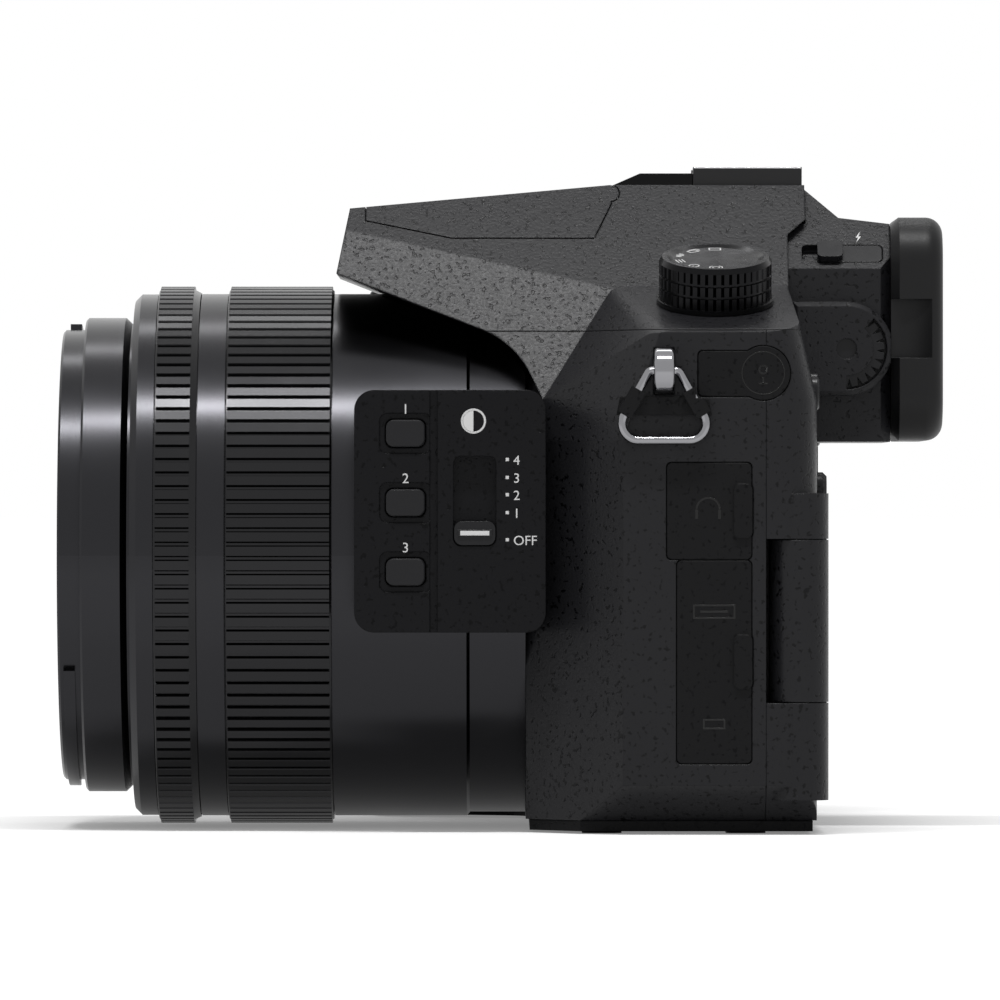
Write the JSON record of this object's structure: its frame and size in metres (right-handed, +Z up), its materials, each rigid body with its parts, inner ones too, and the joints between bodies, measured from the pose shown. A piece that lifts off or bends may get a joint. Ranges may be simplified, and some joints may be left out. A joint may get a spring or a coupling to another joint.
{
  "type": "bridge camera",
  "caption": "Black bridge camera: fixed zoom lens with ribbed rings and a side panel, hand grip, eyepiece, swing-out monitor, pop-up flash and accessory shoe.",
  "frame": {"origin": "mouth of the tripod socket in the base, under the lens axis", "axes": "+Z up, -Y the way the lens looks, +X towards the user's left hand"},
  "size_m": [0.1484, 0.1351, 0.1016],
  "materials": {
    "base_black": "fine textured black plastic",
    "battery_grey": "battery case",
    "board_green": "circuit board",
    "body_black": "satin black moulded plastic",
    "button_black": "smooth black plastic",
    "cell_black": "blackened lens cell",
    "dial_black": "black dial with a bright bevel",
    "door_rubber": "soft black plastic door",
    "eyecup_rubber": "soft matt black rubber",
    "flash_clear": "clear ribbed flash window",
    "frame_metal": "die-cast frame",
    "glass_coated": "coated optical glass",
    "grip_rubber": "matt black rubber",
    "lens_black": "satin black anodised tube",
    "lug_chrome": "polished metal",
    "panel_black": "fine textured black plastic",
    "ring_black": "satin black ribbed ring",
    "rod_steel": "ground steel rod",
    "screen_glass": "dark display glass",
    "shoe_metal": "stamped steel shoe"
  },
  "bodies": {
    "camera": {"front_cover": "body_black", "rear_cover": "body_black", "top_cover": "body_black", "base_cover": "base_black", "hand_grip": "grip_rubber", "thumb_rest": "grip_rubber", "main_chassis": "frame_metal", "sensor_unit": "frame_metal", "main_board": "board_green", "battery_pack": "battery_grey", "card_slot": "rod_steel", "lens_barrel": "lens_black", "front_ring": "lens_black", "front_element": "glass_coated", "lens_side_panel": "panel_black", "guide_rods": "rod_steel", "iris_unit": "cell_black", "hot_shoe": "shoe_metal", "evf_housing": "body_black", "eyecup": "eyecup_rubber", "eyepiece_lens": "glass_coated", "strap_lugs": "lug_chrome"},
    "control_ring": {"control_ring": "ring_black"},
    "zoom_ring": {"zoom_ring": "ring_black"},
    "zoom_group": {"zoom_group": "cell_black"},
    "focus_group": {"focus_group": "cell_black"},
    "fn_button_1": {"fn_button_1": "button_black"},
    "fn_button_2": {"fn_button_2": "button_black"},
    "fn_button_3": {"fn_button_3": "button_black"},
    "nd_switch": {"nd_switch": "button_black"},
    "drive_dial": {"drive_dial": "dial_black"},
    "mode_dial": {"mode_dial": "dial_black"},
    "power_lever": {"power_lever": "button_black"},
    "shutter_button": {"shutter_button": "button_black"},
    "zoom_lever": {"zoom_lever": "button_black"},
    "record_button": {"record_button": "button_black"},
    "rear_dial": {"rear_dial": "dial_black"},
    "view_button": {"view_button": "button_black"},
    "play_button": {"play_button": "button_black"},
    "menu_button": {"menu_button": "button_black"},
    "af_lever": {"af_lever": "button_black"},
    "af_lock_button": {"af_lock_button": "button_black"},
    "direction_pad": {"direction_pad": "button_black"},
    "monitor": {"monitor_hinge": "body_black", "monitor_case": "body_black", "monitor_screen": "screen_glass"},
    "diopter_dial": {"diopter_dial": "button_black"},
    "flash_lever": {"flash_lever": "button_black"},
    "flash_head": {"flash_head": "body_black", "flash_window": "flash_clear"},
    "battery_door": {"battery_door": "base_black"},
    "battery_latch": {"battery_latch": "button_black"},
    "card_door": {"card_door": "body_black"},
    "phones_port_cover": {"phones_port_cover": "door_rubber"},
    "data_port_cover": {"data_port_cover": "door_rubber"},
    "mic_port_cover": {"mic_port_cover": "door_rubber"},
    "strap_ring_left": {"strap_ring_left": "lug_chrome", "ring_guard_left": "door_rubber"},
    "strap_ring_right": {"strap_ring_right": "lug_chrome", "ring_guard_right": "door_rubber"}
  },
  "joints": [
    {"name": "control_ring_turn", "type": "hinge", "parent": "camera", "child": "control_ring", "pos_m": [0, -0.0763, 0.04155], "axis": [0, -1, 0], "continuous": true},
    {"name": "zoom_ring_turn", "type": "hinge", "parent": "camera", "child": "zoom_ring", "pos_m": [0, -0.06065, 0.04155], "axis": [0, -1, 0], "continuous": true},
    {"name": "zoom_group_slide", "type": "slide", "parent": "camera", "child": "zoom_group", "axis": [0, 1, 0], "range_m": [0, 0.012]},
    {"name": "focus_group_slide", "type": "slide", "parent": "camera", "child": "focus_group", "axis": [0, 1, 0], "range_m": [0, 0.009]},
    {"name": "fn_button_1_press", "type": "slide", "parent": "camera", "child": "fn_button_1", "axis": [-1, 0, 0], "range_m": [0, 0.0004], "stiffness_N_per_m": 600},
    {"name": "fn_button_2_press", "type": "slide", "parent": "camera", "child": "fn_button_2", "axis": [-1, 0, 0], "range_m": [0, 0.0004], "stiffness_N_per_m": 600},
    {"name": "fn_button_3_press", "type": "slide", "parent": "camera", "child": "fn_button_3", "axis": [-1, 0, 0], "range_m": [0, 0.0004], "stiffness_N_per_m": 600},
    {"name": "nd_switch_slide", "type": "slide", "parent": "camera", "child": "nd_switch", "axis": [0, 0, 1], "range_m": [0, 0.0097]},
    {"name": "drive_dial_turn", "type": "hinge", "parent": "camera", "child": "drive_dial", "pos_m": [0.0352, 0.00565, 0.07998], "axis": [0.2672, 0, 0.9636], "range_deg": [0, 150]},
    {"name": "mode_dial_turn", "type": "hinge", "parent": "camera", "child": "mode_dial", "pos_m": [-0.041, 0.004, 0.082], "axis": [0, 0, 1], "continuous": true},
    {"name": "power_lever_turn", "type": "hinge", "parent": "camera", "child": "power_lever", "pos_m": [-0.041, 0.004, 0.082], "axis": [0, 0, 1], "range_deg": [0, 30]},
    {"name": "shutter_button_press", "type": "slide", "parent": "camera", "child": "shutter_button", "axis": [0, 0.0797, -0.9968], "range_m": [0, 0.001], "stiffness_N_per_m": 500},
    {"name": "zoom_lever_turn", "type": "hinge", "parent": "camera", "child": "zoom_lever", "pos_m": [-0.067, -0.0335, 0.08012], "axis": [0, -0.0797, 0.9968], "range_deg": [-16, 16], "stiffness_Nm_per_rad": 0.02},
    {"name": "record_button_press", "type": "slide", "parent": "camera", "child": "record_button", "axis": [0, 0.0797, -0.9968], "range_m": [0, 0.0005], "stiffness_N_per_m": 500},
    {"name": "rear_dial_turn", "type": "hinge", "parent": "camera", "child": "rear_dial", "pos_m": [-0.066, 0.0141, 0.0788], "axis": [0, 0, 1], "continuous": true},
    {"name": "view_button_press", "type": "slide", "parent": "camera", "child": "view_button", "axis": [0, -1, 0], "range_m": [0, 0.0005], "stiffness_N_per_m": 500},
    {"name": "play_button_press", "type": "slide", "parent": "camera", "child": "play_button", "axis": [0, -1, 0], "range_m": [0, 0.0005], "stiffness_N_per_m": 500},
    {"name": "menu_button_press", "type": "slide", "parent": "camera", "child": "menu_button", "axis": [0, -1, 0], "range_m": [0, 0.0005], "stiffness_N_per_m": 500},
    {"name": "af_lever_turn", "type": "hinge", "parent": "camera", "child": "af_lever", "pos_m": [-0.033, 0.0208, 0.0614], "axis": [0, 1, 0], "range_deg": [-25, 25]},
    {"name": "af_lock_button_press", "type": "slide", "parent": "camera", "child": "af_lock_button", "axis": [0, -1, 0], "range_m": [0, 0.0005], "stiffness_N_per_m": 500},
    {"name": "direction_pad_press", "type": "slide", "parent": "camera", "child": "direction_pad", "axis": [0, -1, 0], "range_m": [0, 0.0005], "stiffness_N_per_m": 500},
    {"name": "monitor_swing", "type": "hinge", "parent": "camera", "child": "monitor", "pos_m": [0.0473, 0.01802, 0.0318], "axis": [0, 0, -1], "range_deg": [0, 175]},
    {"name": "diopter_dial_turn", "type": "hinge", "parent": "camera", "child": "diopter_dial", "pos_m": [0.024, 0.0259, 0.0731], "axis": [1, 0, 0], "range_deg": [-120, 120]},
    {"name": "flash_lever_slide", "type": "slide", "parent": "camera", "child": "flash_lever", "axis": [0, -1, 0], "range_m": [0, 0.0022], "stiffness_N_per_m": 200},
    {"name": "flash_head_lift", "type": "hinge", "parent": "camera", "child": "flash_head", "pos_m": [0, -0.01, 0.0971], "axis": [-1, 0, 0], "range_deg": [0, 38]},
    {"name": "battery_door_open", "type": "hinge", "parent": "camera", "child": "battery_door", "pos_m": [-0.0555, -0.017, 0], "axis": [0, -1, 0], "range_deg": [0, 110]},
    {"name": "battery_latch_slide", "type": "slide", "parent": "battery_door", "child": "battery_latch", "axis": [1, 0, 0], "range_m": [0, 0.0024]},
    {"name": "card_door_open", "type": "hinge", "parent": "camera", "child": "card_door", "pos_m": [-0.0856, 0.011, 0.032], "axis": [0, 0, -1], "range_deg": [0, 95]},
    {"name": "phones_port_cover_open", "type": "hinge", "parent": "camera", "child": "phones_port_cover", "pos_m": [0.052, -0.0019, 0.04835], "axis": [0, 0, -1], "range_deg": [0, 100]},
    {"name": "data_port_cover_open", "type": "hinge", "parent": "camera", "child": "data_port_cover", "pos_m": [0.052, -0.0004, 0.02565], "axis": [0, 0, -1], "range_deg": [0, 100]},
    {"name": "mic_port_cover_open", "type": "hinge", "parent": "camera", "child": "mic_port_cover", "pos_m": [0.052, 0.01663, 0.0691], "axis": [0, 0, 1], "range_deg": [0, 90]},
    {"name": "strap_ring_left_swing", "type": "hinge", "parent": "camera", "child": "strap_ring_left", "pos_m": [0.0539, -0.00235, 0.0694], "axis": [0, -1, 0], "range_deg": [0, 150]},
    {"name": "strap_ring_right_swing", "type": "hinge", "parent": "camera", "child": "strap_ring_right", "pos_m": [-0.0875, -0.00235, 0.0694], "axis": [0, 1, 0], "range_deg": [0, 150]}
  ]
}
